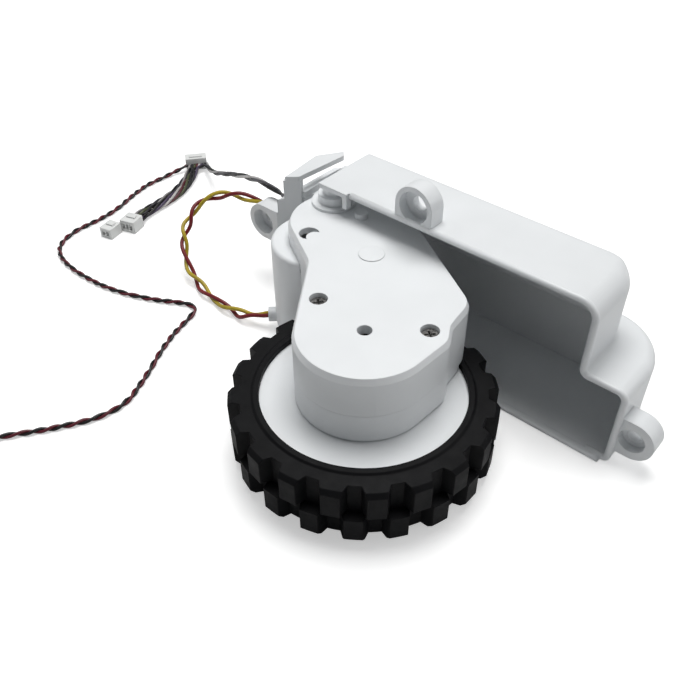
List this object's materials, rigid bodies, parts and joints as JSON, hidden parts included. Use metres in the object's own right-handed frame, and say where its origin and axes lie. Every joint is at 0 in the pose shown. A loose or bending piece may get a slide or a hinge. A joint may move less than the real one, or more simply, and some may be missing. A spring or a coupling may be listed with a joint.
{
  "type": "robot vacuum wheel module",
  "caption": "Sprung drive wheel of a robot vacuum: swing-arm gearbox with motor, treaded wheel and open wheel-well housing, with its wiring laid out beside it.",
  "frame": {"origin": "on the wheel's axis, at the surface that the module lies on with its outer side down", "axes": "+Z along the wheel's axis, from the outer side to the robot's inside; +X along the housing's long side, the robot's fore-and-aft line; +Y into the wheel well, the robot's up"},
  "size_m": [0.2171, 0.1542, 0.057],
  "materials": {
    "white_plastic": "satin",
    "tyre_rubber": "matte",
    "gear_plastic": "satin",
    "steel": "brushed",
    "screw_steel": "bright",
    "bronze": "satin",
    "copper": "satin",
    "black_plastic": "matte",
    "wire_red": "satin",
    "wire_black": "satin",
    "wire_grey": "satin",
    "connector_white": "satin"
  },
  "bodies": {
    "housing": {"wheel_housing": "white_plastic", "tension_spring": "steel", "switch_body": "black_plastic", "motor_lead": "wire_red", "sensor_cable": "wire_grey", "harness_long": "wire_black", "harness_short": "wire_grey", "pair_lead": "wire_black", "main_connector": "connector_white", "connector_a": "connector_white", "connector_b": "connector_white", "pair_connector": "connector_white"},
    "arm": {"gearcase_upper": "white_plastic", "gearcase_lower": "white_plastic", "gear_pin_second": "steel", "gear_pin_first": "steel", "gear_pin_idler": "steel", "bush_lower": "bronze", "bush_upper": "bronze", "motor_can": "steel", "motor_end_cap": "black_plastic", "motor_terminals": "copper", "case_screws": "screw_steel", "motor_screws": "screw_steel", "motor_cover": "white_plastic"},
    "wheel": {"wheel_hub": "white_plastic", "tyre": "tyre_rubber", "output_shaft": "steel", "output_gear": "gear_plastic", "wheel_screw": "screw_steel"},
    "second": {"gear_second": "gear_plastic"},
    "first": {"gear_first": "gear_plastic"},
    "idler": {"gear_idler": "gear_plastic"},
    "rotor": {"motor_rotor": "steel", "motor_pinion": "bronze"},
    "lever": {"switch_lever": "steel"}
  },
  "joints": [
    {"name": "arm_swing", "type": "hinge", "parent": "housing", "child": "arm", "pos_m": [-0.04434, 0.03923, 0.02], "axis": [0, 0, 1], "range_deg": [0, 30], "stiffness_Nm_per_rad": 0.3, "springref_deg": -45.84, "deforming": ["tension_spring"]},
    {"name": "wheel_spin", "type": "hinge", "parent": "arm", "child": "wheel", "pos_m": [0, 0, 0.0108], "axis": [0, 0, 1], "continuous": true},
    {"name": "second_spin", "type": "hinge", "parent": "arm", "child": "second", "pos_m": [-0.00506, 0.01565, 0.025], "axis": [0, 0, 1], "continuous": true},
    {"name": "first_spin", "type": "hinge", "parent": "arm", "child": "first", "pos_m": [-0.01891, 0.02568, 0.025], "axis": [0, 0, 1], "continuous": true},
    {"name": "idler_spin", "type": "hinge", "parent": "arm", "child": "idler", "pos_m": [-0.03284, 0.03801, 0.025], "axis": [0, 0, 1], "continuous": true},
    {"name": "rotor_spin", "type": "hinge", "parent": "arm", "child": "rotor", "pos_m": [-0.04112, 0.02864, 0.025], "axis": [0, 0, 1], "continuous": true},
    {"name": "lever_tilt", "type": "hinge", "parent": "housing", "child": "lever", "pos_m": [-0.05161, 0.04477, 0.013], "axis": [0, 0, 1], "range_deg": [0, 8]}
  ],
  "couplings": [
    {"joint": "second_spin", "follows": "wheel_spin", "ratio": -2.9167},
    {"joint": "first_spin", "follows": "wheel_spin", "ratio": 9.8718},
    {"joint": "idler_spin", "follows": "wheel_spin", "ratio": -41.132},
    {"joint": "rotor_spin", "follows": "wheel_spin", "ratio": 130.25},
    {"joint": "lever_tilt", "follows": "arm_swing", "ratio": 0.26667}
  ]
}
